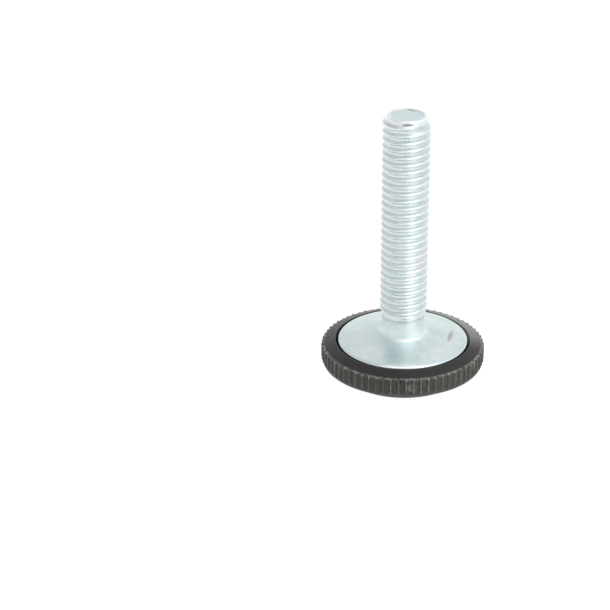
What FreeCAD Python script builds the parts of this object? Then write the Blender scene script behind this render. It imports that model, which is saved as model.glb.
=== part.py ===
import FreeCAD, Part
import math
import os

from FreeCAD import Vector

# Furniture levelling foot: a zinc-plated M8 stud with a cold-headed flange,
# snapped into a black moulded base with a knurled rim and a ringed sole.
# Millimetres. +Z up, origin on the floor at the centre of the sole.

# ---------------------------------------------------------------- dimensions
# moulded base
KNURL_TIP_R = 13.62        # over the knurl ridges (27 mm base)
KNURL_VALLEY_R = 13.28
KNURL_TEETH = 68
RIDGE_WIDTH = 0.62         # each ridge of the knurl, at its foot
BAND_R = 13.38             # plain band under the knurl
RIM_Z = 1.65               # underside of the outer rim above the floor
BAND_TOP_Z = 2.35
KNURL_TOP_Z = 5.00
LIP_Z = 5.70               # inner edge of the conical top
LIP_R = 11.20
BEAD_R = 10.90             # snap bead that holds the flange down
BEAD_Z = 5.25
POCKET_R = 11.08
POCKET_FLOOR_Z = 4.05
SOLE_R = 10.40             # raised ringed sole that stands on the floor
SOLE_WALL_FOOT_R = 10.55
GROOVE_DEPTH = 0.70
GROOVES = ((3.17, 4.19), (5.25, 6.15), (7.70, 8.70))   # inner and outer radius
EDGE = 0.12                # broken edge of each ring

# stud and flange
FLANGE_BOTTOM_Z = 4.10
FLANGE_EQUATOR_R = 10.98   # widest line of the flange, below the bead
FLANGE_EQUATOR_Z = 4.92
FLANGE_EDGE_R = 10.80      # upright side inside the lip
FLANGE_SIDE_Z = 5.25
FLANGE_EDGE_Z = 5.52       # where the edge rounding starts
FLANGE_EDGE_ROUND = 0.40
NECK_R = 3.50              # unthreaded blank diameter 7 mm
NECK_FILLET = 1.70
NECK_BOTTOM_Z = 8.75
PITCH = 1.25               # M8 coarse thread, right-hand
CREST_R = 3.94
ROOT_R = 3.27              # also the radius of the plain point
CREST_LAND = 0.20
THREAD_START_Z = 8.05 + 10 * PITCH / 12   # lower edge of the first, still flush, turn
THREAD_TURNS_X12 = 335     # 27.92 turns in steps of 30 degrees
THREAD_PHASE = 310.0       # degrees, so that the thread runs out at 280 degrees
RUNOUT_FROM, RUNOUT_TO = 0.72, 1.52      # crest rises from the neck, in turns
ROOT_FROM_Z, ROOT_TO_Z = 10.34, 11.67     # root sinks from the neck
LEAD_TURNS = 0.25          # the ridge fades out over a quarter turn at the tip
TIP_Z = 45.52
POINT_ROUND = 0.35
END_RECESS_R = 2.70        # shallow dish left in the end by thread rolling
END_RECESS = 0.15

SEG = 12
STEP = 2 * math.pi / SEG
AXIS = Vector(0, 0, 1)
O = Vector(0, 0, 0)


def at(r, phi, z):
    return Vector(r * math.cos(phi), r * math.sin(phi), z)


def revolve_solid(points):
    """A closed ring of (r, z) points and arcs turned a full turn about Z."""
    edges = []
    last = Vector(points[0][0], 0, points[0][1])
    first = last
    for p in points[1:]:
        end = Vector(p[0], 0, p[1])
        if len(p) == 4:
            edges.append(Part.Arc(last, Vector(p[2], 0, p[3]), end).toShape())
        else:
            edges.append(Part.makeLine(last, end))
        last = end
    if last.distanceToPoint(first) > 1e-9:
        edges.append(Part.makeLine(last, first))
    face = Part.Face(Part.Wire(edges))
    solid = face.revolve(O, AXIS, 360)
    if solid.Volume < 0:
        solid.reverse()
    return solid


# ---------------------------------------------------------------- moulded base
def sole_profile():
    pts = [(0.0, 0.0)]
    for r0, r1 in GROOVES:
        pts += [
            (r0 - EDGE, 0.0),
            (r0, EDGE),
            (r0 + 0.04, GROOVE_DEPTH),
            (r1 - 0.04, GROOVE_DEPTH),
            (r1, EDGE),
            (r1 + EDGE, 0.0),
        ]
    return pts


def make_base():
    pts = sole_profile()
    pts += [
        (SOLE_R - 0.15, 0.0),
        (SOLE_R, 0.15),
        (SOLE_WALL_FOOT_R, RIM_Z + 0.05),
        (SOLE_WALL_FOOT_R + 0.12, RIM_Z + 0.17),
        (SOLE_WALL_FOOT_R + 0.30, RIM_Z + 0.10),
        (SOLE_WALL_FOOT_R + 0.75, RIM_Z),
        (12.80, RIM_Z + 0.02),
        # rounded lower corner of the rim
        (BAND_R, RIM_Z + 0.50, 13.22, RIM_Z + 0.16),
        (BAND_R, BAND_TOP_Z),
        (KNURL_TIP_R, BAND_TOP_Z + 0.18),
        (KNURL_TIP_R, KNURL_TOP_Z - 0.06),
        (KNURL_TIP_R - 0.06, KNURL_TOP_Z),
        (KNURL_VALLEY_R, KNURL_TOP_Z),
        (LIP_R + 0.10, LIP_Z),
        (LIP_R, LIP_Z - 0.03),
        (LIP_R, BEAD_Z + 0.23),
        (BEAD_R, BEAD_Z + 0.03),
        (BEAD_R, BEAD_Z - 0.03),
        (POCKET_R, BEAD_Z - 0.21),
        (POCKET_R, POCKET_FLOOR_Z + 0.15),
        (POCKET_R - 0.15, POCKET_FLOOR_Z),
        (0.0, POCKET_FLOOR_Z),
    ]
    body = revolve_solid(pts)
    # knurl: rounded upright ridges left by a toothed ring that is taken away
    edges = []
    half = math.pi / KNURL_TEETH
    foot = 0.5 * RIDGE_WIDTH / KNURL_VALLEY_R
    z = BAND_TOP_Z + 0.02
    for i in range(KNURL_TEETH):
        a = 2 * math.pi * i / KNURL_TEETH
        edges.append(
            Part.Arc(
                at(KNURL_VALLEY_R, a - foot, z),
                at(KNURL_TIP_R - 0.004, a, z),
                at(KNURL_VALLEY_R, a + foot, z),
            ).toShape()
        )
        edges.append(
            Part.Arc(
                at(KNURL_VALLEY_R, a + foot, z),
                at(KNURL_VALLEY_R, a + half, z),
                at(KNURL_VALLEY_R, a + 2 * half - foot, z),
            ).toShape()
        )
    inner = Part.Wire(edges)
    outer = Part.Wire([Part.makeCircle(15.0, Vector(0, 0, BAND_TOP_Z + 0.02))])
    ring = Part.makeCylinder(15.0, 4.0, Vector(0, 0, BAND_TOP_Z + 0.02)).cut(
        Part.Face(inner).extrude(Vector(0, 0, 4.0))
    )
    base = body.cut(ring)
    solids = base.Solids
    solids.sort(key=lambda s: -s.Volume)
    return solids[0]


# ---------------------------------------------------------------- flanged stud
FLANK = (CREST_R - ROOT_R) * math.tan(math.radians(30))
# height of the four helical lines of one ridge above its lower edge
LINE_Z = (0.0, FLANK, FLANK + CREST_LAND, 2 * FLANK + CREST_LAND)


def root_radius(z):
    if z <= ROOT_FROM_Z:
        return NECK_R
    if z >= ROOT_TO_Z:
        return ROOT_R
    t = (z - ROOT_FROM_Z) / (ROOT_TO_Z - ROOT_FROM_Z)
    return NECK_R + (ROOT_R - NECK_R) * t * t * (3 - 2 * t)


def line_radius(k, turns):
    z = THREAD_START_Z + LINE_Z[k] + PITCH * turns
    root = root_radius(z)
    if k in (0, 3):
        return root
    total = THREAD_TURNS_X12 / SEG
    low = min(max((turns - RUNOUT_FROM) / (RUNOUT_TO - RUNOUT_FROM), 0.0), 1.0)
    high = min(max((total - turns) / LEAD_TURNS, 0.0), 1.0)
    crest = NECK_R + (CREST_R - NECK_R) * low * low * (3 - 2 * low)
    if turns > total / 2:
        crest = ROOT_R + (CREST_R - ROOT_R) * math.sin(0.5 * math.pi * high)
    return crest


def line_point(k, turns):
    phi = math.radians(THREAD_PHASE) + 2 * math.pi * turns
    z = THREAD_START_Z + LINE_Z[k] + PITCH * turns
    return at(line_radius(k, turns), phi, z)


def helical_edge(k, i):
    """Line k of the ridge over the i-th step of 30 degrees."""
    pts = [line_point(k, (i + j / 6.0) / SEG) for j in range(7)]
    c = Part.BSplineCurve()
    c.interpolate(Points=pts)
    return c.toShape()


def patch_on_cylinder(r, edges):
    """A face of the stud's cylinder of radius r inside a closed loop of edges."""
    cyl = Part.Cylinder()
    cyl.Center = O
    cyl.Axis = AXIS
    cyl.Radius = r
    wire = Part.Wire(Part.__sortEdges__(edges))
    face = Part.Face(cyl, wire)
    face.validate()
    return face


def make_stud():
    n = THREAD_TURNS_X12
    lines = [[helical_edge(k, i) for i in range(n)] for k in range(4)]
    faces = []
    for i in range(n):
        for k in range(3):
            t0, t1 = i / SEG, (i + 1) / SEG
            plain = k == 1 and all(
                abs(line_radius(m, t) - CREST_R) < 1e-9
                for m in (1, 2)
                for t in (t0, (t0 + t1) / 2, t1)
            )
            if plain:
                faces.append(
                    patch_on_cylinder(
                        CREST_R,
                        [
                            lines[1][i],
                            lines[2][i],
                            Part.makeLine(line_point(1, t0), line_point(2, t0)),
                            Part.makeLine(line_point(1, t1), line_point(2, t1)),
                        ],
                    )
                )
            else:
                faces.append(Part.makeRuledSurface(lines[k][i], lines[k + 1][i]))
        if i + SEG < n:
            faces.append(Part.makeRuledSurface(lines[3][i], lines[0][i + SEG]))

    def ring(profile):
        """Turn each edge of an (r, z) profile in twelve steps."""
        for e in profile:
            e = e.copy()
            e.rotate(O, AXIS, THREAD_PHASE)
            for i in range(SEG):
                f = e.copy()
                f.rotate(O, AXIS, 30.0 * i)
                faces.append(f.revolve(O, AXIS, 30.0))

    def arc(r, z, i, phase=THREAD_PHASE):
        a0 = math.radians(phase) + i * STEP
        return Part.Arc(
            at(r, a0, z), at(r, a0 + STEP / 2, z), at(r, a0 + STEP, z)
        ).toShape()

    # neck between the fillet and the flush first turn
    def chain_up(points):
        return [Part.makeLine(a, b) for a, b in zip(points, points[1:])]

    for i in range(SEG):
        p0 = at(NECK_R, math.radians(THREAD_PHASE) + i * STEP, NECK_BOTTOM_Z)
        p1 = at(NECK_R, math.radians(THREAD_PHASE) + (i + 1) * STEP, NECK_BOTTOM_Z)
        left = chain_up([p0, line_point(0, i / SEG)])
        right = chain_up([p1, line_point(0, (i + 1) / SEG)])
        if i == SEG - 1:
            right = chain_up([p1] + [line_point(k, 0.0) for k in range(4)] + [line_point(0, 1.0)])
        faces.append(
            patch_on_cylinder(NECK_R, [arc(NECK_R, NECK_BOTTOM_Z, i), lines[0][i]] + left + right)
        )
    # plain point above the last turn
    point_z = TIP_Z - POINT_ROUND
    total = n / SEG
    end_phase = THREAD_PHASE + 360.0 * total
    for j in range(SEG):
        i = n - SEG + j
        t0, t1 = i / SEG, (i + 1) / SEG
        a0 = math.radians(THREAD_PHASE) + 2 * math.pi * t0
        q0, q1 = at(ROOT_R, a0, point_z), at(ROOT_R, a0 + STEP, point_z)
        left = chain_up([line_point(3, t0), q0])
        right = chain_up([line_point(3, t1), q1])
        if j == 0:
            left = chain_up([line_point(3, t0)] + [line_point(k, total) for k in range(4)] + [q0])
        top = Part.Arc(q0, at(ROOT_R, a0 + STEP / 2, point_z), q1).toShape()
        faces.append(patch_on_cylinder(ROOT_R, [lines[3][i], top] + left + right))
    # end of the point: rounded edge, flat rim and shallow dish
    k = math.sqrt(0.5)
    ring(
        [
            Part.Arc(
                Vector(ROOT_R, 0, point_z),
                Vector(ROOT_R - POINT_ROUND * (1 - k), 0, point_z + POINT_ROUND * k),
                Vector(ROOT_R - POINT_ROUND, 0, TIP_Z),
            ).toShape(),
            Part.makeLine(Vector(ROOT_R - POINT_ROUND, 0, TIP_Z), Vector(END_RECESS_R, 0, TIP_Z - END_RECESS)),
        ]
    )
    faces.append(
        Part.Face(Part.Wire([arc(END_RECESS_R, TIP_Z - END_RECESS, i) for i in range(SEG)]))
    )
    # flange: fillet, gentle cone, rounded edge, barrelled side, flat underside
    edge_c = Vector(FLANGE_EDGE_R - FLANGE_EDGE_ROUND, 0, FLANGE_EDGE_Z)
    # the cone is the line that touches both the edge rounding and the fillet
    dx = edge_c.x - NECK_R - NECK_FILLET
    dz = edge_c.z - NECK_BOTTOM_Z
    slope = math.asin(-(FLANGE_EDGE_ROUND + NECK_FILLET) / math.hypot(dx, dz)) - math.atan2(dz, dx)
    e_top = edge_c + Vector(math.sin(slope), 0, math.cos(slope)) * FLANGE_EDGE_ROUND
    m = (math.pi / 2 - slope) / 2
    e_mid = edge_c + Vector(math.cos(m), 0, math.sin(m)) * FLANGE_EDGE_ROUND
    # fillet arc tangent to the neck and to the cone
    fc = Vector(NECK_R + NECK_FILLET, 0, NECK_BOTTOM_Z)
    f_end = fc - Vector(math.sin(slope), 0, math.cos(slope)) * NECK_FILLET
    a_mid = (math.pi + (1.5 * math.pi - slope)) / 2
    f_mid = fc + Vector(math.cos(a_mid), 0, math.sin(a_mid)) * NECK_FILLET
    low_r = FLANGE_EQUATOR_R - 0.30
    ring(
        [
            Part.Arc(Vector(NECK_R, 0, NECK_BOTTOM_Z), f_mid, f_end).toShape(),
            Part.makeLine(f_end, e_top),
            Part.Arc(e_top, e_mid, Vector(FLANGE_EDGE_R, 0, FLANGE_EDGE_Z)).toShape(),
            Part.makeLine(Vector(FLANGE_EDGE_R, 0, FLANGE_EDGE_Z), Vector(FLANGE_EDGE_R, 0, FLANGE_SIDE_Z)),
            Part.makeLine(Vector(FLANGE_EDGE_R, 0, FLANGE_SIDE_Z), Vector(FLANGE_EQUATOR_R, 0, FLANGE_EQUATOR_Z)),
            Part.makeLine(Vector(FLANGE_EQUATOR_R, 0, FLANGE_EQUATOR_Z), Vector(FLANGE_EQUATOR_R, 0, FLANGE_BOTTOM_Z + 0.30)),
            Part.Arc(
                Vector(FLANGE_EQUATOR_R, 0, FLANGE_BOTTOM_Z + 0.30),
                Vector(low_r + 0.30 * k, 0, FLANGE_BOTTOM_Z + 0.30 * (1 - k)),
                Vector(low_r, 0, FLANGE_BOTTOM_Z),
            ).toShape(),
        ]
    )
    faces.append(Part.Face(Part.Wire([arc(low_r, FLANGE_BOTTOM_Z, i) for i in range(SEG)])))
    print("fillet meets cone at r %.3f z %.3f, cone meets edge at r %.3f z %.3f, slope %.2f deg" % (
        f_end.x, f_end.z, e_top.x, e_top.z, math.degrees(slope)))

    sew = Part.Compound(faces)
    sew.sewShape()
    shells = sew.Shells
    print("faces", len(faces), "shells", len(shells), [s.isClosed() for s in shells][:5])
    solid = Part.Solid(max(shells, key=lambda s: len(s.Faces)))
    if solid.Volume < 0:
        solid.reverse()
    return solid


os.makedirs("parts", exist_ok=True)
parts = {"knurled_base": make_base(), "levelling_stud": make_stud()}
for name, shape in parts.items():
    b = shape.BoundBox
    print(
        name, shape.ShapeType, "valid", shape.isValid(), "faces", len(shape.Faces),
        "volume %.1f" % shape.Volume,
        "box %.3f %.3f %.3f %.3f %.3f %.3f" % (b.XMin, b.XMax, b.YMin, b.YMax, b.ZMin, b.ZMax),
    )
    shape.exportStep("parts/%s.step" % name)
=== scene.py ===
import math

import bpy
import numpy as np
from mathutils import Matrix, Vector


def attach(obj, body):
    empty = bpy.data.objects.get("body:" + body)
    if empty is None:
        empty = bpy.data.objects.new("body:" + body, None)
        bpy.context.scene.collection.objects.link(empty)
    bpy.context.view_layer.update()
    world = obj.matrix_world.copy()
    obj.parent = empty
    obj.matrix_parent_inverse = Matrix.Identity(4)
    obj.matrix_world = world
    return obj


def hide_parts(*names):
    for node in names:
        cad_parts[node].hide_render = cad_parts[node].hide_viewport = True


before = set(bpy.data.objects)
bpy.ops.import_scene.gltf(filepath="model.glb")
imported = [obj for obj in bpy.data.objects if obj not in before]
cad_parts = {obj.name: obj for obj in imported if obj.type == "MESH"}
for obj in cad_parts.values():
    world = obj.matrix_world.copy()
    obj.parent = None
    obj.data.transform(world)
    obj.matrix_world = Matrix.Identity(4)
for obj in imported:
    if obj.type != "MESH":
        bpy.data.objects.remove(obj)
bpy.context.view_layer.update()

rng = np.random.default_rng(20261116)
TAU = 2 * math.pi

# ------------------------------------------------------------------ sizes, mm
KNURL_TIP_R, KNURL_VALLEY_R, TEETH, RIDGE = 13.62, 13.28, 68, 0.62
BAND_R, RIM_Z, BAND_TOP_Z, KNURL_TOP_Z = 13.38, 1.65, 2.35, 5.00
LIP_R, LIP_Z, BEAD_R, BEAD_Z, POCKET_R, POCKET_FLOOR_Z = 11.20, 5.70, 10.90, 5.25, 11.08, 4.05
SOLE_R, SOLE_FOOT_R, GROOVE = 10.40, 10.55, 0.70
GROOVES = ((3.17, 4.19), (5.25, 6.15), (7.70, 8.70))
PITCH, CREST_R, ROOT_R, NECK_R = 1.25, 3.94, 3.42, 3.50
LAND, MID = 0.16, 0.487     # width of the rolled crest, and its centre above the helix
START_Z, TURNS, PHASE = 8.05 + 10 * PITCH / 12, 335 / 12, math.radians(310.0)
ROOT_FROM_Z, ROOT_TO_Z = 10.34, 11.67
RUNOUT_FROM, RUNOUT_TO, LEAD = 0.72, 1.52, 0.22
CHAMFER_FROM_Z, CHAMFER_TO_Z, CHAMFER_R, CHAMFER_END_R = 44.62, 45.34, 3.44, 3.26
NECK_BOTTOM_Z, POINT_Z, TIP_Z, POINT_ROUND = 8.75, 45.17, 45.52, 0.35
FILLET = 1.70
EDGE_R, EDGE_Z, EDGE_ROUND, SIDE_Z = 10.80, 5.52, 0.40, 5.25
EQ_R, EQ_Z, BOTTOM_Z = 10.98, 4.92, 4.10
DISH_R, DISH = 2.70, 0.15


# ---------------------------------------------------------------- small tools
def lattice_noise(shape, seed, cells, wrap_x=True):
    """Smooth noise of mean 0 on a grid of (rows, columns); columns wrap round."""
    r = np.random.default_rng(seed)
    cy, cx = cells
    g = r.standard_normal((cy + 4, cx))
    y = np.linspace(0, cy, shape[0])
    x = np.linspace(0, cx, shape[1], endpoint=False)
    y0, x0 = np.floor(y).astype(int), np.floor(x).astype(int)
    fy, fx = y - y0, x - x0
    fy, fx = fy * fy * (3 - 2 * fy), fx * fx * (3 - 2 * fx)
    a = g[y0][:, x0 % cx]
    b = g[y0][:, (x0 + 1) % cx]
    c = g[y0 + 1][:, x0 % cx]
    d = g[y0 + 1][:, (x0 + 1) % cx]
    top = a * (1 - fx) + b * fx
    bot = c * (1 - fx) + d * fx
    return top * (1 - fy)[:, None] + bot * fy[:, None]


def smooth(t):
    t = np.clip(t, 0, 1)
    return t * t * (3 - 2 * t)


def make_mesh(name, verts, faces, attrs=None, weld=0.0):
    me = bpy.data.meshes.new(name)
    me.from_pydata((np.asarray(verts) / 1000.0).tolist(), [], faces)
    for key, values in (attrs or {}).items():
        at = me.attributes.new(key, "FLOAT", "POINT")
        at.data.foreach_set("value", np.asarray(values, dtype=np.float32))
    me.validate()
    me.update()
    ob = bpy.data.objects.new(name, me)
    bpy.context.scene.collection.objects.link(ob)
    if weld:
        import bmesh

        bm = bmesh.new()
        bm.from_mesh(me)
        bmesh.ops.remove_doubles(bm, verts=bm.verts, dist=weld / 1000.0)
        bmesh.ops.dissolve_degenerate(bm, edges=bm.edges, dist=weld / 4000.0)
        bmesh.ops.recalc_face_normals(bm, faces=bm.faces)
        bm.to_mesh(me)
        bm.free()
        me.update()
    me.polygons.foreach_set("use_smooth", [True] * len(me.polygons))
    return ob


# ------------------------------------------------------------- stud and flange
FLANK = (CREST_R - ROOT_R) * math.tan(math.radians(30)) * 1.12


FLARE_TOP_Z = 9.9
_dx, _dz = EDGE_R - EDGE_ROUND - NECK_R - FILLET, EDGE_Z - NECK_BOTTOM_Z
SLOPE = math.asin(-(EDGE_ROUND + FILLET) / math.hypot(_dx, _dz)) - math.atan2(_dz, _dx)
_r = NECK_R + FILLET - FILLET * math.sin(SLOPE)
FILLET_END = (4.52, NECK_BOTTOM_Z - FILLET * math.cos(SLOPE) + (_r - 4.52) * math.tan(SLOPE))
FLARE_KNEE_Z = FILLET_END[1] + (FILLET_END[0] - NECK_R) * math.tan(SLOPE)


def flare_point(t):
    """Point of the flare, from the plain neck (t = 0) to the flange's cone (t = 1)."""
    r = (1 - t * t) * NECK_R + t * t * FILLET_END[0]
    z = (1 - t) ** 2 * FLARE_TOP_Z + 2 * t * (1 - t) * (FLARE_KNEE_Z - 0.0) + t * t * FILLET_END[1]
    return r, z


_ft = np.linspace(0, 1, 400)
_fr, _fz = flare_point(_ft)
FLARE_T0 = float(np.interp(-NECK_BOTTOM_Z, -_fz, _ft))


def flare_radius(z):
    return np.interp(-z, -_fz, _fr)


def root_radius(z):
    r = NECK_R + (ROOT_R - NECK_R) * smooth((z - ROOT_FROM_Z) / (ROOT_TO_Z - ROOT_FROM_Z))
    # the blank's chamfered end, not quite closed by the rolling
    r = r + (CHAMFER_R - ROOT_R) * smooth((z - 43.3) / 0.9)
    return r - (CHAMFER_R - CHAMFER_END_R) * np.clip((z - CHAMFER_FROM_Z) / (CHAMFER_TO_Z - CHAMFER_FROM_Z), 0, 2)


def stud_radius(phi, z):
    """Radius of the threaded length at angle phi and height z, arrays in mm."""
    root = root_radius(z)
    best = root.copy()
    mid = MID
    for shift in (-1, 0, 1):
        # which turn of the ridge lies nearest this height
        a = np.mod(phi - PHASE, TAU) / TAU
        n = np.round((z - START_Z - mid) / PITCH - a) + shift
        t = n + a
        inside = (t >= 0) & (t <= TURNS)
        dz = np.abs(z - (START_Z + mid + PITCH * t))
        low = smooth((t - RUNOUT_FROM) / (RUNOUT_TO - RUNOUT_FROM))
        # the last turn fades as it rises past the front, where it is shallower
        high = np.clip((TURNS + 0.09 - t) / (LEAD + 0.05), 0, 1) * (1 - 0.10 * smooth((t - TURNS + 1.05) / 0.12) * smooth((TURNS - 0.42 - t) / 0.16))
        inside = (t >= 0) & (t <= TURNS + 0.09)
        crest = np.where(
            t > TURNS / 2,
            ROOT_R + (CREST_R - ROOT_R) * np.sin(0.5 * math.pi * high),
            NECK_R + (CREST_R - NECK_R) * low,
        )
        # rounded crest and root: the flank is a smooth step between them
        up = z - (START_Z + mid + PITCH * t)
        # the last half turn is left wide and round
        wide = 0.28 * smooth((t - TURNS + 0.62) / 0.2) * smooth((TURNS - 0.06 - t) / 0.22) * (up > 0)
        dz = np.where(up > 0, np.maximum(dz - wide, 0) , dz)
        w = dz - LAND / 2
        frac = np.clip(w / FLANK, 0, 1)
        eased = frac - 0.055 * np.sin(TAU * frac)
        round_crest = 0.026 * np.clip(dz / (LAND / 2), 0, 1) ** 2 * smooth((LAND / 2 + 0.12 - dz) / 0.12)
        r = crest - (crest - root) * eased - round_crest * (crest - root) / (CREST_R - ROOT_R)
        r = np.where(inside & (crest > root), r, root)
        best = np.maximum(best, r)
    return np.maximum(best, np.where(z < FLARE_TOP_Z, flare_radius(z), 0.0))


def build_stud():
    J, K = 144, 20          # columns round, rows in one pitch
    # heights within one pitch, denser on the crest's edges
    up = FLANK + LAND
    u = np.concatenate([FLANK * np.array([0.0, 0.16, 0.34, 0.54, 0.74, 0.92]), FLANK + LAND * np.array([0.12, 0.32, 0.5, 0.68, 0.88]),
                        up + FLANK * np.array([0.08, 0.26, 0.46, 0.66, 0.84, 1.0]),
                        up + FLANK + (PITCH - LAND - 2 * FLANK) * np.array([0.25, 0.5, 0.75])])
    assert len(u) == K and u[-1] < PITCH and (np.diff(u) > 0).all()
    u = u + MID - LAND / 2 - FLANK
    n_lo = int(math.floor((NECK_BOTTOM_Z - START_Z) / PITCH)) - 2
    n_hi = int(math.ceil((POINT_Z - START_Z) / PITCH)) + 1
    rows = np.concatenate([u + PITCH * n for n in range(n_lo, n_hi + 1)])
    a = np.arange(J) / J
    phi = PHASE + TAU * a
    Z = START_Z + rows[:, None] + PITCH * a[None, :]
    Z = np.clip(Z, NECK_BOTTOM_Z, POINT_Z)
    PHI = np.broadcast_to(phi, Z.shape)
    R = stud_radius(PHI, Z)
    # rolled surface: faint waviness and small dents, none at the two ends
    fade = smooth((Z - NECK_BOTTOM_Z - 0.3) / 0.8) * smooth((POINT_Z - Z) / 0.5)
    R = R + fade * (
        0.007 * lattice_noise(Z.shape, 11, (len(rows) // 3, 60))
        + 0.005 * lattice_noise(Z.shape, 12, (len(rows) // 2, 24))
    )
    side = np.mod(PHI - math.radians(269.0) + math.pi, TAU) - math.pi
    lap = np.exp(-((side / 0.30) ** 4)) * np.exp(-(((Z - 44.98 - 0.05 * np.abs(side)) / 0.13) ** 2))
    R = R - 0.10 * lap
    verts = list(np.stack([R * np.cos(PHI), R * np.sin(PHI), Z], -1).reshape(-1, 3))
    M = len(rows)
    faces = []
    idx = lambda m, j: m * J + j
    for m in range(M - 1):
        for j in range(J):
            if j < J - 1:
                q = (idx(m, j), idx(m, j + 1), idx(m + 1, j + 1), idx(m + 1, j))
            else:  # the seam joins this row to the one a pitch higher
                if m + 1 - K < 0:
                    continue
                q = (idx(m - K, j), idx(m, 0), idx(m + 1, 0), idx(m + 1 - K, j))
            zs = [verts[v][2] for v in q]
            if max(zs) - min(zs) < 1e-7:
                continue
            faces.append(q)
    # seam rows whose partner is past the lattice are all clamped flat, so none is lost

    def add_ring(r, z, wob=None):
        start = len(verts)
        rr = np.full(J, r) if wob is None else r + wob
        for j in range(J):
            verts.append(np.array([rr[j] * math.cos(phi[j]), rr[j] * math.sin(phi[j]), z if np.isscalar(z) else z[j]]))
        return start

    def join(s0, s1, flip=False):
        for j in range(J):
            k = (j + 1) % J
            q = (s0 + j, s0 + k, s1 + k, s1 + j)
            faces.append(q[::-1] if flip else q)

    # point: rounded edge, rim with a rolled-over burr, shallow dish
    burr = lattice_noise((2, J), 31, (1, 22))[0] * 0.022
    prev = add_ring(float(root_radius(np.float64(POINT_Z))), POINT_Z)
    tip = [(CHAMFER_END_R, CHAMFER_TO_Z, 0.1)]
    for k in range(1, 8):
        t = math.radians(27) + math.radians(63) * k / 7
        tip.append((CHAMFER_END_R - 0.30 * (math.cos(math.radians(27)) - math.cos(t)),
                    TIP_Z - 0.30 + 0.30 * math.sin(t), 0.3 + 0.1 * k))
    r_in = tip[-1][0]
    tip += [(r_in - 0.05, TIP_Z - 0.004, 1.0), (r_in - 0.12, TIP_Z - 0.022, 0.9), (r_in - 0.21, TIP_Z - 0.060, 0.7),
            (r_in - 0.30, TIP_Z - 0.105, 0.5), (r_in - 0.36, TIP_Z - DISH + 0.012, 0.4), (r_in - 0.43, TIP_Z - DISH, 0.3)]
    for r, z, k in tip:
        s = add_ring(r, z, burr * k)
        join(prev, s)
        prev = s
    for r in (2.2, 1.7, 1.2, 0.8, 0.4):
        s = add_ring(r, TIP_Z - DISH + 0.006 * math.sin(7 * r))
        join(prev, s)
        prev = s
    c = len(verts)
    verts.append(np.array([0, 0, TIP_Z - DISH]))
    for j in range(J):
        faces.append((prev + j, prev + (j + 1) % J, c))

    # below the neck: fillet, gentle cone, rounded edge, side, underside
    ddx, ddz = EDGE_R - EDGE_ROUND - NECK_R - FILLET, EDGE_Z - NECK_BOTTOM_Z
    slope = math.asin(-(EDGE_ROUND + FILLET) / math.hypot(ddx, ddz)) - math.atan2(ddz, ddx)
    prof = []
    for k in range(1, 17):
        prof.append(tuple(float(v) for v in flare_point(FLARE_T0 + (1 - FLARE_T0) * k / 16)))
    f_end = prof[-1]
    e_top = (EDGE_R - EDGE_ROUND + EDGE_ROUND * math.sin(slope), EDGE_Z + EDGE_ROUND * math.cos(slope))
    for k in range(1, 27):
        t = k / 26
        prof.append((f_end[0] + (e_top[0] - f_end[0]) * t, f_end[1] + (e_top[1] - f_end[1]) * t))
    for k in range(1, 13):
        t = (0.5 * math.pi - slope) * (1 - k / 12)
        prof.append((EDGE_R - EDGE_ROUND + EDGE_ROUND * math.cos(t), EDGE_Z + EDGE_ROUND * math.sin(t)))
    prof += [(EDGE_R, EDGE_Z - 0.12), (EDGE_R, SIDE_Z + 0.02), (EDGE_R + 0.02, SIDE_Z - 0.03), (EQ_R - 0.02, EQ_Z + 0.04), (EQ_R, EQ_Z - 0.03),
             (EQ_R, BOTTOM_Z + 0.5), (EQ_R, BOTTOM_Z + 0.3)]
    for k in range(1, 7):
        t = 0.5 * math.pi * k / 6
        prof.append((EQ_R - 0.3 + 0.3 * math.cos(t), BOTTOM_Z + 0.3 - 0.3 * math.sin(t)))
    prof += [(8.5, BOTTOM_Z), (6.0, BOTTOM_Z), (3.5, BOTTOM_Z), (1.2, BOTTOM_Z)]
    wav = lattice_noise((len(prof), J), 41, (14, 9))
    prev = add_ring(float(flare_radius(NECK_BOTTOM_Z)), NECK_BOTTOM_Z)
    for i, (r, z) in enumerate(prof):
        zz = np.full(J, z)
        if 16 <= i < 42:  # the headed face isn't perfectly flat
            zz = z + 0.010 * wav[i] * smooth((i - 16) / 5) * smooth((41 - i) / 4)
        s = add_ring(r, zz)
        join(prev, s, True)
        prev = s
    c = len(verts)
    verts.append(np.array([0, 0, BOTTOM_Z]))
    for j in range(J):
        faces.append((prev + (j + 1) % J, prev + j, c))
    V = np.array(verts)
    rad = np.hypot(V[:, 0], V[:, 1])
    # wear: bright rubbed crests
    crest = smooth((rad - (CREST_R - 0.16)) / 0.12) * (V[:, 2] > 9.5)
    # painted shade: mask of the thread's roots, which the zinc colour darkens as shade
    root_painted_shade = smooth((ROOT_R + 0.28 - rad) / 0.25) * (V[:, 2] > 10.0) * (V[:, 2] < 44.6)
    return make_mesh("levelling_stud_detail", V, faces, {"crest": crest, "root_painted_shade": root_painted_shade}, weld=0.0012)


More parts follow.
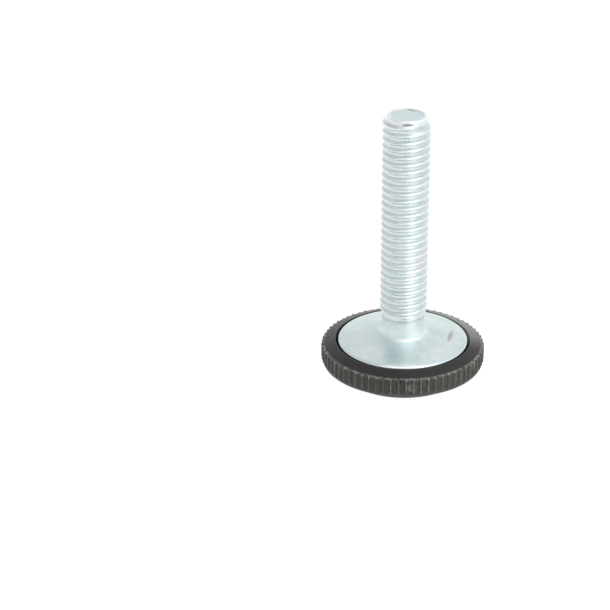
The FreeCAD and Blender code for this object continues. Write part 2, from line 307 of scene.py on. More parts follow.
# ------------------------------------------------------------------------ base
def build_base():
    PER = 14
    J = TEETH * PER
    pitch = TAU / TEETH
    hw = 0.5 * RIDGE / KNURL_VALLEY_R
    # columns of one tooth, gathered on the ridge; 0 is its crest
    u = np.array([-1.0, -0.86, -0.62, -0.36, -0.12, 0.12, 0.36, 0.62, 0.86, 1.0]) * hw
    gap = (pitch - 2 * hw) / 5
    cols = np.concatenate([u, hw + gap * np.arange(1, 5)])
    assert len(cols) == PER
    phi = (pitch * np.arange(TEETH)[:, None] + cols[None, :]).ravel()
    r = np.random.default_rng(5)
    t_no = np.repeat(np.arange(TEETH), PER)
    lean = (0.14 * hw * r.standard_normal(TEETH))[t_no]
    d = np.tile(cols, TEETH)
    w = np.clip(np.abs(d - np.where(np.abs(d) < hw, lean * (1 - (d / hw) ** 2), 0)) / hw, 0, 1)
    tooth = np.where(np.abs(d) <= hw, (1 - w ** 2.0) * 0.80 + 0.20 * (1 - w), 0.0)
    height = 1 + 0.09 * r.standard_normal(TEETH)
    height = np.clip(height, 0.80, 1.0)[t_no]
    # the land between two ridges sags a little
    sag = np.where(np.abs(d) > hw, -0.035 * np.sin(np.clip((d - hw) / (pitch - 2 * hw), 0, 1) * math.pi), 0)
    knurl = KNURL_VALLEY_R + (KNURL_TIP_R - KNURL_VALLEY_R - 0.01) * tooth * height + sag

    P = []  # (r or None, z, knurl weight, wear)

    def p(rr, z, k=0.0, wear=0.0):
        P.append((rr, z, k, wear))

    p(0.0, 0.0, 0, 0.8)
    for q in (0.6, 1.2, 1.8, 2.4):
        p(q, 0.0, 0, 0.8)
    last = 2.4
    for r0, r1 in GROOVES:
        if last > 3:
            for q in np.linspace(last, r0 - 0.12, 4)[1:-1]:
                p(q, 0.0, 0, 0.85)
        p(r0 - 0.14, 0.0, 0, 0.9)
        p(r0 - 0.05, 0.025, 0, 1.0)
        p(r0 - 0.005, 0.09, 0, 0.9)
        p(r0 + 0.005, 0.20, 0, 0.3)
        p(r0 + 0.035, GROOVE - 0.10, 0, 0.1)
        p(r0 + 0.12, GROOVE, 0, 0.1)
        for q in np.linspace(r0 + 0.12, r1 - 0.12, 4)[1:-1]:
            p(q, GROOVE, 0, 0.15)
        p(r1 - 0.12, GROOVE, 0, 0.1)
        p(r1 - 0.035, GROOVE - 0.10, 0, 0.1)
        p(r1 - 0.005, 0.20, 0, 0.3)
        p(r1 + 0.005, 0.09, 0, 0.9)
        p(r1 + 0.05, 0.025, 0, 1.0)
        p(r1 + 0.14, 0.0, 0, 0.9)
        last = r1 + 0.14
    for q in np.linspace(last, SOLE_R - 0.18, 5)[1:-1]:
        p(q, 0.0, 0, 0.85)
    p(SOLE_R - 0.18, 0.0, 0, 0.9)
    p(SOLE_R - 0.06, 0.04, 0, 1.0)
    p(SOLE_R, 0.15, 0, 0.7)
    p(SOLE_R + 0.03, 0.45, 0, 0.15)
    p(SOLE_FOOT_R - 0.04, 1.25, 0, 0.05)
    p(SOLE_FOOT_R, RIM_Z + 0.05, 0, 0.0)
    p(SOLE_FOOT_R + 0.12, RIM_Z + 0.17, 0, 0.0)
    p(SOLE_FOOT_R + 0.30, RIM_Z + 0.10, 0, 0.2)
    p(SOLE_FOOT_R + 0.50, RIM_Z + 0.035, 0, 0.5)
    p(SOLE_FOOT_R + 0.75, RIM_Z, 0, 0.7)
    p(11.8, RIM_Z, 0, 0.8)
    p(12.3, RIM_Z + 0.005, 0, 0.8)
    p(12.75, RIM_Z + 0.02, 0, 0.8)
    p(12.98, RIM_Z + 0.055, 0, 0.8)
    p(13.15, RIM_Z + 0.125, 0, 0.8)
    p(13.28, RIM_Z + 0.25, 0, 0.75)
    p(13.35, RIM_Z + 0.38, 0, 0.6)
    p(BAND_R, RIM_Z + 0.52, 0, 0.5)
    p(BAND_R, BAND_TOP_Z, 0, 0.45)
    # into the knurl
    p(None, BAND_TOP_Z + 0.06, 0.25, 0.6)
    p(None, BAND_TOP_Z + 0.12, 0.7, 0.75)
    p(None, BAND_TOP_Z + 0.22, 1.0, 0.7)
    for z in np.linspace(BAND_TOP_Z + 0.22, KNURL_TOP_Z - 0.20, 12)[1:]:
        p(None, z, 1.0, 0.6)
    p(None, KNURL_TOP_Z - 0.08, 0.96, 0.9)
    p(None, KNURL_TOP_Z - 0.025, 0.84, 1.0)
    p(None, KNURL_TOP_Z - 0.002, 0.60, 1.0)
    p(None, KNURL_TOP_Z - 0.002, 0.12, 0.9)
    # conical top
    r_top, z_top = KNURL_VALLEY_R - 0.07, KNURL_TOP_Z + 0.022
    p(r_top, z_top, 0, 0.55)
    p(r_top - 0.06, z_top + 0.022, 0, 0.3)
    for q in np.linspace(r_top - 0.06, LIP_R + 0.16, 14)[1:]:
        f = (r_top - 0.06 - q) / (r_top - 0.06 - LIP_R - 0.16)
        p(q, z_top + 0.022 + (LIP_Z - 0.03 - z_top - 0.022) * f, 0, 0.05)
    p(LIP_R + 0.10, LIP_Z - 0.006, 0, 0.35)
    p(LIP_R + 0.04, LIP_Z - 0.002, 0, 0.6)
    p(LIP_R + 0.005, LIP_Z - 0.025, 0, 0.4)
    p(LIP_R, LIP_Z - 0.08, 0, 0.0)
    p(LIP_R, BEAD_Z + 0.24, 0, 0)
    p(BEAD_R + 0.02, BEAD_Z + 0.06, 0, 0)
    p(BEAD_R, BEAD_Z, 0, 0)
    p(BEAD_R + 0.02, BEAD_Z - 0.06, 0, 0)
    p(POCKET_R, BEAD_Z - 0.21, 0, 0)
    p(POCKET_R, POCKET_FLOOR_Z + 0.15, 0, 0)
    p(POCKET_R - 0.15, POCKET_FLOOR_Z, 0, 0)
    p(8.0, POCKET_FLOOR_Z, 0, 0)
    p(4.0, POCKET_FLOOR_Z, 0, 0)
    p(0.0, POCKET_FLOOR_Z, 0, 0)

    n = len(P)
    R = np.zeros((n, J))
    Z = np.zeros((n, J))
    W = np.zeros((n, J))
    ridge_line = np.zeros((n, J))
    top_edge = np.zeros((n, J))
    r2 = np.random.default_rng(77)
    worn = np.clip(0.45 + 0.40 * r2.standard_normal(TEETH), 0.05, 1.0)[t_no]
    fray = lattice_noise((n, J), 7, (n // 2, TEETH * 3))
    fray2 = lattice_noise((n, J), 8, (n // 3, TEETH))
    for i, (rr, z, k, wear) in enumerate(P):
        Z[i] = z
        W[i] = wear
        if rr is None:
            base = BAND_R if z < BAND_TOP_Z + 0.15 else KNURL_VALLEY_R - 0.05 * (1 - k)
            R[i] = base + (knurl - base) * k
            R[i] += 0.012 * k * fray[i] * tooth - 0.006 * k
            W[i] = wear * (0.25 + 0.75 * tooth)
            ridge_line[i] = worn * smooth((tooth - 0.80) / 0.15) * (z > BAND_TOP_Z + 0.15)
            top_edge[i] = smooth((z - (KNURL_TOP_Z - 0.30)) / 0.25)
            if z > KNURL_TOP_Z - 0.25:       # scuffed upper ends of the teeth
                nick = np.clip(fray2[i], -2, 2)
                Z[i] = z - 0.035 * np.clip(nick, 0, 2) * tooth
                R[i] -= 0.025 * np.clip(nick, 0, 2) * tooth
        else:
            R[i] = rr
            top_edge[i] = 1.0 if (rr > KNURL_VALLEY_R - 0.15 and z > KNURL_TOP_Z) else 0.0
    # a nick in the upper edge of the rim, at the front
    turn = np.mod(phi - math.radians(266.0) + math.pi, TAU) - math.pi
    nick_v = np.zeros((n, J))
    for i, (rr, z, k, wear) in enumerate(P):
        if z > KNURL_TOP_Z - 0.75 and (rr is None or rr > 12.9):
            along = turn * 13.4 + 0.75 * (z - KNURL_TOP_Z + 0.3)
            g = np.exp(-((along / 0.21) ** 2)) * math.exp(-(((z - KNURL_TOP_Z + 0.30) / 0.42) ** 2))
            R[i] -= 0.22 * g
            nick_v[i] = g
    R = np.minimum(R, KNURL_TIP_R - 0.001)
    # faint sink and waviness of the moulding, away from fits and the floor
    cone = np.array([1.0 if (q[0] is not None and LIP_R + 0.2 < q[0] < 13.0 and q[1] > 4.9) else 0.0 for q in P])
    under = np.array([1.0 if (q[0] is not None and 11.3 < q[0] < 12.7 and 1.5 < q[1] < 2.0) else 0.0 for q in P])
    Z += (cone * 0.010)[:, None] * lattice_noise((n, J), 9, (20, 14))
    Z += (under * 0.012)[:, None] * lattice_noise((n, J), 10, (20, 30))

    verts = np.stack([R * np.cos(phi)[None], R * np.sin(phi)[None], Z], -1)
    V, faces, start = [], [], []
    wear_v, ridge_v, edge_v, nicks = [], [], [], []
    for i in range(n):
        start.append(len(V))
        if P[i][0] == 0.0:
            V.append([0, 0, P[i][1]])
            wear_v.append(P[i][3])
            ridge_v.append(0.0)
            edge_v.append(0.0)
            nicks.append(0.0)
        else:
            V.extend(verts[i].tolist())
            wear_v.extend(W[i].tolist())
            ridge_v.extend(ridge_line[i].tolist())
            edge_v.extend(top_edge[i].tolist())
            nicks.extend(nick_v[i].tolist())
    for i in range(n - 1):
        a, b = start[i], start[i + 1]
        if P[i][0] == 0.0:
            for j in range(J):
                faces.append((a, b + (j + 1) % J, b + j))
        elif P[i + 1][0] == 0.0:
            for j in range(J):
                faces.append((a + j, a + (j + 1) % J, b))
        else:
            for j in range(J):
                k = (j + 1) % J
                faces.append((a + j, a + k, b + k, b + j))
    return make_mesh("knurled_base_detail", np.array(V), faces, {"wear": wear_v, "ridge": ridge_v, "edge": edge_v, "nick": nicks})


stud = build_stud()
base = build_base()


# ------------------------------------------------------------------- materials
class Nodes:
    """A short way to write node trees."""

    def __init__(self, name):
        self.mat = bpy.data.materials.new(name)
        self.mat.use_nodes = True
        self.nt = self.mat.node_tree
        self.nt.nodes.clear()
        self.out = self.nt.nodes.new("ShaderNodeOutputMaterial")
        self.bsdf = self.nt.nodes.new("ShaderNodeBsdfPrincipled")
        self.nt.links.new(self.bsdf.outputs[0], self.out.inputs[0])

    def new(self, kind, **props):
        n = self.nt.nodes.new(kind)
        for k, v in props.items():
            if k.startswith("in_"):
                key = k[3:]
                n.inputs[int(key) if key.isdigit() else key.replace("_", " ")].default_value = v
            else:
                setattr(n, k, v)
        return n

    def link(self, a, b):
        self.nt.links.new(a, b)

    def coords(self):
        if not hasattr(self, "_c"):
            self._c = self.new("ShaderNodeTexCoord").outputs["Object"]
        return self._c

    def scaled(self, sx, sy, sz, rot=(0, 0, 0)):
        m = self.new("ShaderNodeMapping")
        m.inputs["Scale"].default_value = (sx, sy, sz)
        m.inputs["Rotation"].default_value = rot
        self.link(self.coords(), m.inputs["Vector"])
        return m.outputs[0]

    def noise(self, scale, detail=3.0, rough=0.55, vec=None, dist=0.0):
        n = self.new("ShaderNodeTexNoise")
        n.inputs["Scale"].default_value = scale
        n.inputs["Detail"].default_value = detail
        n.inputs["Roughness"].default_value = rough
        n.inputs["Distortion"].default_value = dist
        self.link(vec or self.coords(), n.inputs["Vector"])
        return n.outputs[0]

    def ramp(self, fac, stops):
        r = self.new("ShaderNodeValToRGB")
        el = r.color_ramp.elements
        while len(el) > 1:
            el.remove(el[-1])
        for i, (pos, col) in enumerate(stops):
            e = el[0] if i == 0 else el.new(pos)
            e.position = pos
            e.color = (*col, 1) if len(col) == 3 else col
        self.link(fac, r.inputs[0])
        return r.outputs[0]

    def math(self, op, a, b=None, clamp=False):
        m = self.new("ShaderNodeMath", operation=op, use_clamp=clamp)
        for i, v in enumerate((a, b)):
            if v is None:
                continue
            if hasattr(v, "links"):
                self.link(v, m.inputs[i])
            else:
                m.inputs[i].default_value = v
        return m.outputs[0]

    def remap(self, v, a, b, c=0.0, d=1.0, smooth=False):
        m = self.new("ShaderNodeMapRange", clamp=True)
        if smooth:
            m.interpolation_type = "SMOOTHSTEP"
        self.link(v, m.inputs[0])
        for i, x in zip((1, 2, 3, 4), (a, b, c, d)):
            m.inputs[i].default_value = x
        return m.outputs[0]

    def mix(self, fac, a, b, blend="MIX"):
        m = self.new("ShaderNodeMix", data_type="RGBA", blend_type=blend)
        ins = {"f": m.inputs[0], "a": m.inputs[6], "b": m.inputs[7]}
        for key, v in (("f", fac), ("a", a), ("b", b)):
            if hasattr(v, "links"):
                self.link(v, ins[key])
            elif key == "f":
                ins[key].default_value = v
            else:
                ins[key].default_value = (*v, 1)
        return m.outputs[2]

    def attr(self, name):
        return self.new("ShaderNodeAttribute", attribute_name=name).outputs["Fac"]

    def bump(self, height, strength, distance, normal=None):
        b = self.new("ShaderNodeBump")
        b.inputs["Strength"].default_value = strength
        b.inputs["Distance"].default_value = distance
        self.link(height, b.inputs["Height"])
        if normal is not None:
            self.link(normal, b.inputs["Normal"])
        return b.outputs[0]

    def blob(self, centre, radii, rot_z=0.0, soft=0.5):
        """1 inside an ellipsoid at centre (metres), falling to 0 at its edge."""
        m = self.new("ShaderNodeMapping", vector_type="TEXTURE")
        m.inputs["Location"].default_value = centre
        m.inputs["Rotation"].default_value = (0, 0, rot_z)
        m.inputs["Scale"].default_value = radii
        self.link(self.coords(), m.inputs["Vector"])
        ln = self.new("ShaderNodeVectorMath", operation="LENGTH")
        self.link(m.outputs[0], ln.inputs[0])
        return self.remap(ln.outputs["Value"], 1.0, soft, 0.0, 1.0, True)


def zinc():
    n = Nodes("zinc_plate")
    b = n.bsdf
    b.inputs["Metallic"].default_value = 1.0
    # colour: bluish white with weak clouds of teal, straw and pink, as thin passivation gives
    cloud = n.noise(260.0, 3.0, 0.5, dist=0.4)
    cool = n.ramp(cloud, [
        (0.30, (0.620, 0.755, 0.735)),
        (0.42, (0.690, 0.800, 0.785)),
        (0.50, (0.715, 0.830, 0.845)),
        (0.58, (0.765, 0.815, 0.785)),
        (0.66, (0.745, 0.835, 0.870)),
        (0.76, (0.790, 0.810, 0.775)),
    ])
    # on the thread the film breaks up into smaller bands of straw, green and pink
    band = n.noise(1.0, 3.0, 0.6, vec=n.scaled(330, 330, 760), dist=0.3)
    warm = n.ramp(band, [
        (0.32, (0.620, 0.725, 0.715)),
        (0.39, (0.715, 0.800, 0.750)),
        (0.45, (0.700, 0.815, 0.830)),
        (0.50, (0.790, 0.825, 0.770)),
        (0.55, (0.705, 0.815, 0.835)),
        (0.61, (0.850, 0.790, 0.815)),
        (0.68, (0.690, 0.790, 0.760)),
    ])
    height = n.new("ShaderNodeSeparateXYZ")
    n.link(n.coords(), height.inputs[0])
    tint = n.mix(n.remap(height.outputs[2], 0.0078, 0.0105, 0.0, 1.0, True), cool, warm)
    patches = n.noise(900.0, 4.0, 0.6)
    tint = n.mix(n.remap(patches, 0.35, 0.7, 0.0, 0.25), tint, (0.80, 0.885, 0.89))
    # short dull dashes along the turns
    on_thread = n.remap(height.outputs[2], 0.0095, 0.0110, 0.0, 1.0, True)
    dash = n.remap(n.noise(1.0, 3.0, 0.65, vec=n.scaled(520, 520, 5200)), 0.56, 0.68, 0.0, 1.0)
    gap = n.remap(n.noise(480.0, 2.0, 0.5), 0.42, 0.58, 0.15, 1.0)
    dash = n.math("MULTIPLY", n.math("MULTIPLY", dash, gap), on_thread)
    tint = n.mix(n.math("MULTIPLY", dash, 0.55), tint, (0.47, 0.52, 0.51))
    # the cut end is plated thinner and bluer
    on_end = n.blob((0, 0, 0.0454), (0.00285, 0.00285, 0.0020), 0.0, 0.94)
    tint = n.mix(n.math("MULTIPLY", on_end, 0.7), tint, (0.66, 0.825, 0.835))
    # painted shade: the lap's groove at the front of the point is painted near black, standing in for the dark
    # reflection there
    lap = n.blob((0.0, -0.0033, 0.04498), (0.00120, 0.0009, 0.00024), 0.0, 0.45)
    tint = n.mix(n.math("MULTIPLY", lap, 0.92), tint, (0.07, 0.075, 0.07))
    burr = n.blob((0.0007, 0.0024, 0.0454), (0.0015, 0.00030, 0.0006), -0.75, 0.3)
    tint = n.mix(n.math("MULTIPLY", burr, 0.75), tint, (0.20, 0.22, 0.22))
    mottle = n.remap(n.noise(1500.0, 5.0, 0.7), 0.34, 0.66, 0.0, 1.0)
    tint = n.mix(n.math("MULTIPLY", mottle, 0.22), tint, (0.47, 0.57, 0.60))
    veil = n.remap(n.noise(620.0, 4.0, 0.6, dist=0.5), 0.38, 0.62, 0.0, 1.0)
    tint = n.mix(n.math("MULTIPLY", veil, 0.20), tint, (0.86, 0.91, 0.99))
    # crests rubbed bright; painted shade: the roots of the thread are painted darker
    tint = n.mix(n.math("MULTIPLY", n.attr("crest"), 0.35), tint, (0.88, 0.92, 0.925))
    tint = n.mix(n.math("MULTIPLY", n.attr("root_painted_shade"), 0.35), tint, (0.55, 0.60, 0.60))
    # painted highlight: the front of the flange's rim and the rounded rim of the cut end are painted near white, as
    # highlights
    flange_front_highlight = n.blob((-0.0012, -0.01045, 0.0057), (0.0052, 0.0010, 0.0010), 0.0, 0.45)
    tint = n.mix(n.math("MULTIPLY", flange_front_highlight, 0.85), tint, (0.985, 0.99, 0.99))
    end_rim_highlight = n.math("MULTIPLY", n.remap(height.outputs[2], 0.04518, 0.04532, 0.0, 1.0, True), n.math("SUBTRACT", 1.0, on_end))
    tint = n.mix(n.math("MULTIPLY", end_rim_highlight, 0.75), tint, (0.97, 0.98, 0.98))
    # a brown-grey scuff on the flange and a few specks
    scuff_break = n.remap(n.noise(2200.0, 4.0, 0.7), 0.36, 0.50, 0.25, 1.0)
    scuff = n.math("MULTIPLY", n.blob((0.0079, -0.0005, 0.0064), (0.00056, 0.0029, 0.0010), -0.22, 0.35), scuff_break)
    tint = n.mix(n.math("MULTIPLY", scuff, 0.80), tint, (0.44, 0.40, 0.395))
    specks = n.remap(n.noise(4200.0, 2.0, 0.5), 0.70, 0.76, 0.0, 1.0)
    tint = n.mix(n.math("MULTIPLY", specks, 0.28), tint, (0.45, 0.50, 0.50))
    n.link(tint, b.inputs["Base Color"])
    rough = n.remap(n.noise(700.0, 4.0, 0.65), 0.3, 0.75, 0.19, 0.30)
    rough = n.math("SUBTRACT", rough, n.math("MULTIPLY", n.attr("crest"), 0.04))
    rough = n.math("ADD", rough, n.math("MULTIPLY", n.math("SUBTRACT", 1.0, on_thread), 0.07))
    across = n.remap(height.outputs[0], 0.0002, 0.0026, 0.0, 1.0, True)
    rough = n.math("ADD", rough, n.math("MULTIPLY", on_thread, n.math("MULTIPLY_ADD", across, 0.10)))
    rough.node.inputs[1].links[0].from_node.inputs[1].links[0].from_node.inputs[2].default_value = 0.05
    rough = n.math("ADD", rough, n.math("MULTIPLY", n.blob((0, 0, 0.0076), (0.0085, 0.0085, 0.0030), 0.0, 0.55), 0.15))
    rough = n.math("ADD", rough, n.math("MULTIPLY", scuff, 0.2))
    n.link(rough, b.inputs["Roughness"])
    # grain of the plating, drawing lines, and short scratches
    grain = n.noise(9000.0, 3.0, 0.6)
    fine = n.noise(26000.0, 2.0, 0.5)
    lines = n.noise(1.0, 3.0, 0.7, vec=n.scaled(2600, 2600, 14000))
    scr = n.noise(1.0, 2.0, 0.5, vec=n.scaled(900, 16000, 5000, (0.1, 0.2, 0.7)))
    scr2 = n.noise(1.0, 2.0, 0.5, vec=n.scaled(15000, 800, 5000, (0.3, 0.1, -0.4)))
    scratches = n.math("ADD", n.remap(scr, 0.68, 0.80), n.remap(scr2, 0.70, 0.82))
    h = n.math("ADD", n.math("MULTIPLY", grain, 0.55), n.math("MULTIPLY", fine, 0.25))
    h = n.math("ADD", h, n.math("MULTIPLY", lines, 0.30))
    h = n.math("SUBTRACT", h, n.math("MULTIPLY", scratches, 0.35))
    nb = n.bump(h, 0.75, 0.000014)
    dents = n.noise(1500.0, 2.0, 0.5)
    nb = n.bump(dents, 0.5, 0.00003, nb)
    n.link(nb, b.inputs["Normal"])
    return n.mat


def black():
    n = Nodes("moulded_black")
    b = n.bsdf
    wear = n.attr("wear")
    mott = n.noise(420.0, 5.0, 0.65)
    fine = n.noise(3800.0, 4.0, 0.7)
    clean = n.mix(n.remap(mott, 0.3, 0.7, 0.0, 1.0), (0.008, 0.008, 0.008), (0.013, 0.013, 0.012))
    dusty = n.mix(n.remap(mott, 0.3, 0.7, 0.0, 1.0), (0.024, 0.024, 0.0215), (0.038, 0.038, 0.034))
    col = n.mix(n.remap(wear, 0.04, 0.14), clean, dusty)
    # painted sheen: a pale patch on the right and back of the cone stands in for the soft box's broad grazing highlight
    cone_painted_sheen = n.math("MULTIPLY", n.blob((0.0105, 0.0075, 0.0053), (0.0085, 0.0115, 0.004), 0.0, 0.40), n.remap(mott, 0.3, 0.7, 0.75, 1.0))
    col = n.mix(n.math("MULTIPLY", cone_painted_sheen, 0.85), col, (0.215, 0.214, 0.208))
    # pale rubbing where the part touches things
    rub = n.math("MULTIPLY", wear, n.remap(n.noise(1300.0, 5.0, 0.7), 0.30, 0.68, 0.35, 1.0))
    rub = n.math("MULTIPLY", rub, n.remap(fine, 0.25, 0.7, 0.6, 1.0), True)
    col = n.mix(n.math("MULTIPLY", rub, 0.85), col, (0.096, 0.095, 0.084))
    # ridges worn to thin broken lines, and a scuffed upper edge
    broken = n.remap(n.noise(1.0, 4.0, 0.7, vec=n.scaled(900, 900, 1500)), 0.40, 0.56, 0.0, 1.0)
    col = n.mix(n.math("MULTIPLY", n.math("MULTIPLY", n.attr("ridge"), broken), 0.85, True), col, (0.235, 0.232, 0.215))
    scuffed = n.remap(n.noise(1250.0, 4.0, 0.7), 0.42, 0.58, 0.0, 1.0)
    col = n.mix(n.math("MULTIPLY", n.math("MULTIPLY", n.attr("edge"), scuffed), 0.9, True), col, (0.245, 0.240, 0.222))
    grit = n.remap(n.noise(3400.0, 3.0, 0.7), 0.55, 0.66, 0.0, 1.0)
    col = n.mix(n.math("MULTIPLY", n.math("MULTIPLY", grit, wear), 0.42, True), col, (0.20, 0.197, 0.18))
    # two rubbed spots on the rim
    spot = n.math("ADD", n.blob((0.0009, -0.0134, 0.0034), (0.0011, 0.0012, 0.0011), 0.0, 0.3), n.blob((0.0115, -0.0071, 0.0043), (0.0012, 0.0014, 0.0010), 0.0, 0.3), True)
    spot_break = n.remap(n.noise(2600.0, 4.0, 0.75), 0.46, 0.60, 0.0, 1.0)
    col = n.mix(n.math("MULTIPLY", n.math("MULTIPLY", spot, spot_break), 0.8), col, (0.27, 0.265, 0.25))
    # painted shade: the nick in the rim is painted near black, as shade in the dent
    col = n.mix(n.math("MULTIPLY", n.attr("nick"), 0.9, True), col, (0.004, 0.004, 0.004))
    # bright flecks and short scratches on rubbed faces
    flecks = n.math("MULTIPLY", n.remap(n.noise(5200.0, 3.0, 0.6), 0.66, 0.73), wear)
    scr = n.noise(1.0, 2.0, 0.5, vec=n.scaled(700, 9000, 3000, (0.0, 0.1, 0.6)))
    scr2 = n.noise(1.0, 2.0, 0.5, vec=n.scaled(9500, 650, 3000, (0.1, 0.0, 0.3)))
    scratches = n.math("ADD", n.remap(scr, 0.69, 0.78), n.remap(scr2, 0.70, 0.79))
    light = n.math("ADD", n.math("MULTIPLY", flecks, 0.6), n.math("MULTIPLY", scratches, n.math("MULTIPLY", wear, 0.5)), True)
    col = n.mix(light, col, (0.24, 0.235, 0.225))
    n.link(col, b.inputs["Base Color"])
    rough = n.remap(n.noise(900.0, 4.0, 0.6), 0.3, 0.7, 0.27, 0.36)
    rough = n.math("ADD", rough, n.math("MULTIPLY", wear, 0.22))
    n.link(rough, b.inputs["Roughness"])
    b.inputs["Specular IOR Level"].default_value = 0.36
    b.inputs["IOR"].default_value = 1.5
    h = n.math("ADD", n.math("MULTIPLY", n.noise(6500.0, 4.0, 0.6), 0.6), n.math("MULTIPLY", fine, 0.4))
    h = n.math("SUBTRACT", h, n.math("MULTIPLY", scratches, 0.3))
    nb = n.bump(h, 0.5, 0.00002)
    nb = n.bump(n.noise(700.0, 3.0, 0.5), 0.5, 0.00005, nb)
    n.link(nb, b.inputs["Normal"])
    return n.mat


zinc_mat, black_mat = zinc(), black()
stud.data.materials.append(zinc_mat)
base.data.materials.append(black_mat)

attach(stud, "stud")
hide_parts("levelling_stud")
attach(base, "base")
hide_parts("knurled_base")

# ------------------------------------------------------------- floor and light
FLOOR_R = 3.0
bm_verts = [(FLOOR_R * math.cos(TAU * i / 64), FLOOR_R * math.sin(TAU * i / 64), 0.0) for i in range(64)]
me = bpy.data.meshes.new("floor")
me.from_pydata(bm_verts, [], [tuple(range(64))])
floor = bpy.data.objects.new("floor", me)
bpy.context.scene.collection.objects.link(floor)
fm = Nodes("pale_floor")
fm.link(fm.mix(fm.noise(40.0, 3.0, 0.5), (0.11, 0.11, 0.11), (0.13, 0.13, 0.13)), fm.bsdf.inputs["Base Color"])
fm.bsdf.inputs["Roughness"].default_value = 0.9
fm.bsdf.inputs["Specular IOR Level"].default_value = 0.0
# a light table: the floor glows white, so that only a trace of contact shadow is left; painted pools of light in front
# and to the right of the base and a painted shade further right make the glow uneven
fm.bsdf.inputs["Emission Color"].default_value = (1, 1, 1, 1)
painted_light_pool = fm.blob((0.036, -0.054, 0.0), (0.045, 0.045, 0.05), 0.0, 0.25)
painted_light_near_base = fm.blob((0.022, -0.029, 0.0), (0.026, 0.026, 0.05), 0.0, 0.30)
shade = fm.blob((0.088, -0.004, 0.0), (0.050, 0.070, 0.05), 0.0, 0.35)
painted_glow_variation = fm.math("ADD", fm.math("MULTIPLY", painted_light_pool, 0.30), fm.math("MULTIPLY", painted_light_near_base, 0.55))
painted_glow_variation = fm.math("SUBTRACT", painted_glow_variation, fm.math("MULTIPLY", shade, 0.34))
fm.link(fm.math("ADD", painted_glow_variation, 0.97), fm.bsdf.inputs["Emission Strength"])
me.materials.append(fm.mat)

# studio: white walls, greyer higher up, a wide soft box overhead and to the right, two dark stands
world = bpy.data.worlds.new("studio")
bpy.context.scene.world = world
world.use_nodes = True
W = world.node_tree
W.nodes.clear()


def wn(kind, **props):
    n = W.nodes.new(kind)
    for k, v in props.items():
        setattr(n, k, v)
    return n


def wmath(op, a, b=None, clamp=False):
    m = wn("ShaderNodeMath", operation=op, use_clamp=clamp)
    for i, v in enumerate((a, b)):
        if v is None:
            continue
        if hasattr(v, "links"):
            W.links.new(v, m.inputs[i])
        else:
            m.inputs[i].default_value = v
    return m.outputs[0]


def toward(az, el):
    """Unit vector to azimuth az, right of the front (-Y), and elevation el, in degrees."""
    a, e = math.radians(az), math.radians(el)
    return (math.sin(a) * math.cos(e), -math.cos(a) * math.cos(e), math.sin(e))


wcoord = wn("ShaderNodeTexCoord").outputs["Generated"]
wnorm = wn("ShaderNodeVectorMath", operation="NORMALIZE")
W.links.new(wcoord, wnorm.inputs[0])
wsep = wn("ShaderNodeSeparateXYZ")
W.links.new(wnorm.outputs[0], wsep.inputs[0])


def lobe(az, el, inner, outer):
    """1 within inner degrees of a direction, 0 beyond outer degrees."""
    dot = wn("ShaderNodeVectorMath", operation="DOT_PRODUCT")
    W.links.new(wnorm.outputs[0], dot.inputs[0])
    dot.inputs[1].default_value = toward(az, el)
    m = wn("ShaderNodeMapRange", clamp=True, interpolation_type="SMOOTHSTEP")
    W.links.new(dot.outputs["Value"], m.inputs[0])
    m.inputs[1].default_value = math.cos(math.radians(outer))
    m.inputs[2].default_value = math.cos(math.radians(inner))
    return m.outputs[0]


walls = wn("ShaderNodeValToRGB")
W.links.new(wmath("MULTIPLY_ADD", wsep.outputs["Z"], 0.5), walls.inputs[0])
walls.inputs[0].links[0].from_node.inputs[2].default_value = 0.5
el = walls.color_ramp.elements
while len(el) > 1:
    el.remove(el[-1])
WALLS = ((-90, 0.95), (0, 1.04), (12, 1.02), (22, 0.92), (32, 0.82), (42, 0.74), (51, 0.71), (60, 0.60), (70, 0.56), (90, 0.62))
for i, (deg, v) in enumerate(WALLS):
    pos = 0.5 + 0.5 * math.sin(math.radians(deg))
    e = el[0] if i == 0 else el.new(pos)
    e.position = pos
    e.color = (v, v, v, 1)
level = wmath("MULTIPLY", walls.outputs[0], wmath("ADD", 1.0, wmath("MULTIPLY", wsep.outputs["X"], 0.15)))
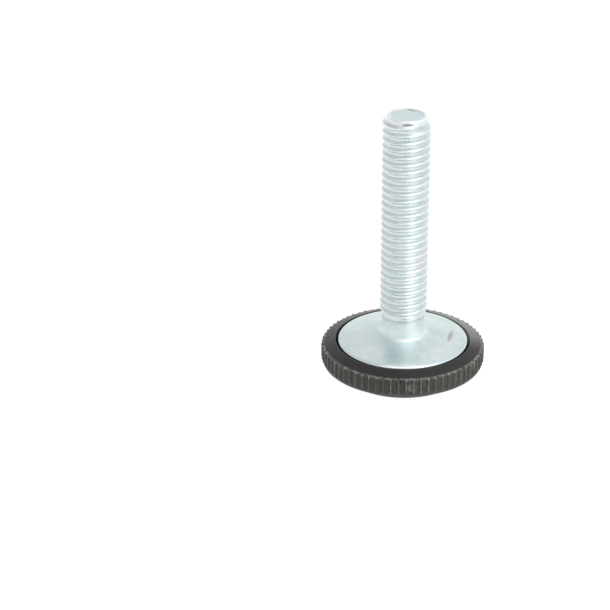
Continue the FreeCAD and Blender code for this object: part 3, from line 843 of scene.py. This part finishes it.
# (azimuth, elevation, inner and outer radius in degrees, strength)
BRIGHT = ((60, 74, 14, 44, 0.42), (38, 15, 8, 26, 0.30), (34, 45, 10, 30, 0.26), (-10, 52, 12, 40, 0.22), (134, 68, 6, 19, 0.12), (179, 50, 6, 22, 0.26))
DARK = ((-14, 20, 5, 10, 0.40), (-2, 20, 6, 10, 0.90), (12, 20, 5, 10, 0.80), (-135, 46, 8, 32, 0.04), (-168, 26, 8, 30, 0.06), (-172, 62, 6, 15, 0.15))
for az, e, a, b, k in BRIGHT:
    level = wmath("ADD", level, wmath("MULTIPLY", lobe(az, e, a, b), k))
for az, e, a, b, k in DARK:
    level = wmath("MULTIPLY", level, wmath("SUBTRACT", 1.0, wmath("MULTIPLY", lobe(az, e, a, b), k)))
bg = wn("ShaderNodeBackground")
wout = wn("ShaderNodeOutputWorld")
W.links.new(level, bg.inputs["Color"])
W.links.new(bg.outputs[0], wout.inputs[0])


def area(name, loc, target, size, power, size_y=None, color=(1, 1, 1)):
    d = bpy.data.lights.new(name, "AREA")
    d.energy = power
    d.color = color
    d.shape = "RECTANGLE" if size_y else "SQUARE"
    d.size = size
    if size_y:
        d.size_y = size_y
    o = bpy.data.objects.new(name, d)
    bpy.context.scene.collection.objects.link(o)
    o.location = loc
    v = Vector(target) - Vector(loc)
    o.rotation_mode = "QUATERNION"
    o.rotation_quaternion = v.to_track_quat("-Z", "Y")
    return o


area("soft_box", (0.35, -0.22, 0.95), (0, 0, 0.02), 0.5, 1.2, 0.5)

# ---------------------------------------------------------------------- camera
cam_data = bpy.data.cameras.new("camera")
cam_data.sensor_width = 36.0
cam_data.lens = 122.93
cam_data.clip_start, cam_data.clip_end = 0.01, 20
cam = bpy.data.objects.new("camera", cam_data)
bpy.context.scene.collection.objects.link(cam)
right = Vector((0.9999912, -0.0018362, -0.0037618))
up = Vector((0.0041861, 0.4386447, 0.8986509))
back = Vector((0.0, -0.8986587, 0.4386485))
m3 = Matrix((right, up, back)).transposed()
cam.matrix_world = Matrix.Translation(Vector((-0.016291, -0.310262, 0.163454))) @ m3.to_4x4()
bpy.context.scene.camera = cam

bpy.context.scene.view_settings.view_transform = "Standard"
bpy.context.scene.view_settings.look = "None"

bpy.context.view_layer.update()
